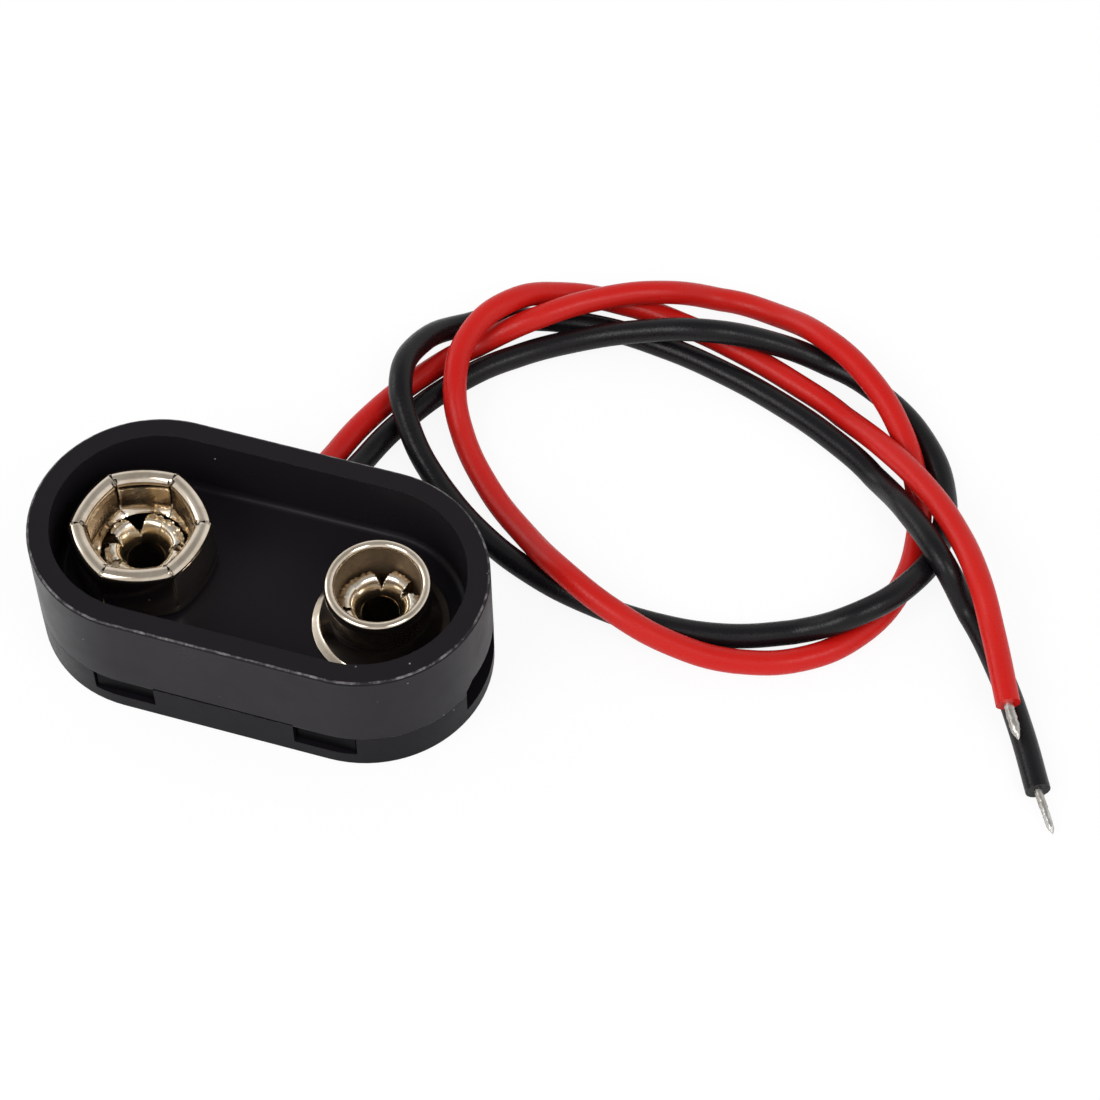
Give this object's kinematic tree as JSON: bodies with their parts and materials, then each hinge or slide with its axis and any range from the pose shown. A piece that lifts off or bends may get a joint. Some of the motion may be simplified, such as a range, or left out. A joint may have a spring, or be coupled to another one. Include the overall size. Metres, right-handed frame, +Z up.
{
  "type": "battery snap connector",
  "caption": "Black moulded snap connector for a nine-volt block battery, with a hexagonal snap socket, a round snap stud and a red and a black lead with bare tinned ends.",
  "frame": {"origin": "under the middle of the housing, on the surface that the base cover lies on", "axes": "+X along the housing from the socket to the stud, +Y towards the side that the leads leave, +Z up through the terminals"},
  "size_m": [0.0539, 0.0341, 0.0078],
  "materials": {
    "housing_plastic": "moulded ABS, satin gloss",
    "cover_plastic": "moulded ABS, satin gloss",
    "nickel_plate": "bright nickel plate on drawn brass",
    "eyelet_metal": "nickel-washed brass with torn brass edges",
    "tag_brass": "stamped brass",
    "solder": "solder, dull bright",
    "conductor": "stranded copper, tinned",
    "red_insulation": "extruded PVC, soft satin",
    "black_insulation": "extruded PVC, soft satin"
  },
  "bodies": {
    "root": {"housing": "housing_plastic", "base_cover": "cover_plastic", "socket_snap": "nickel_plate", "stud_snap": "nickel_plate", "socket_eyelet": "eyelet_metal", "stud_eyelet": "eyelet_metal", "socket_tag": "tag_brass", "stud_tag": "tag_brass", "socket_solder": "solder", "stud_solder": "solder", "red_lead": "red_insulation", "black_lead": "black_insulation", "red_core": "conductor", "black_core": "conductor", "red_bare_end": "solder", "black_bare_end": "solder"}
  },
  "joints": []
}
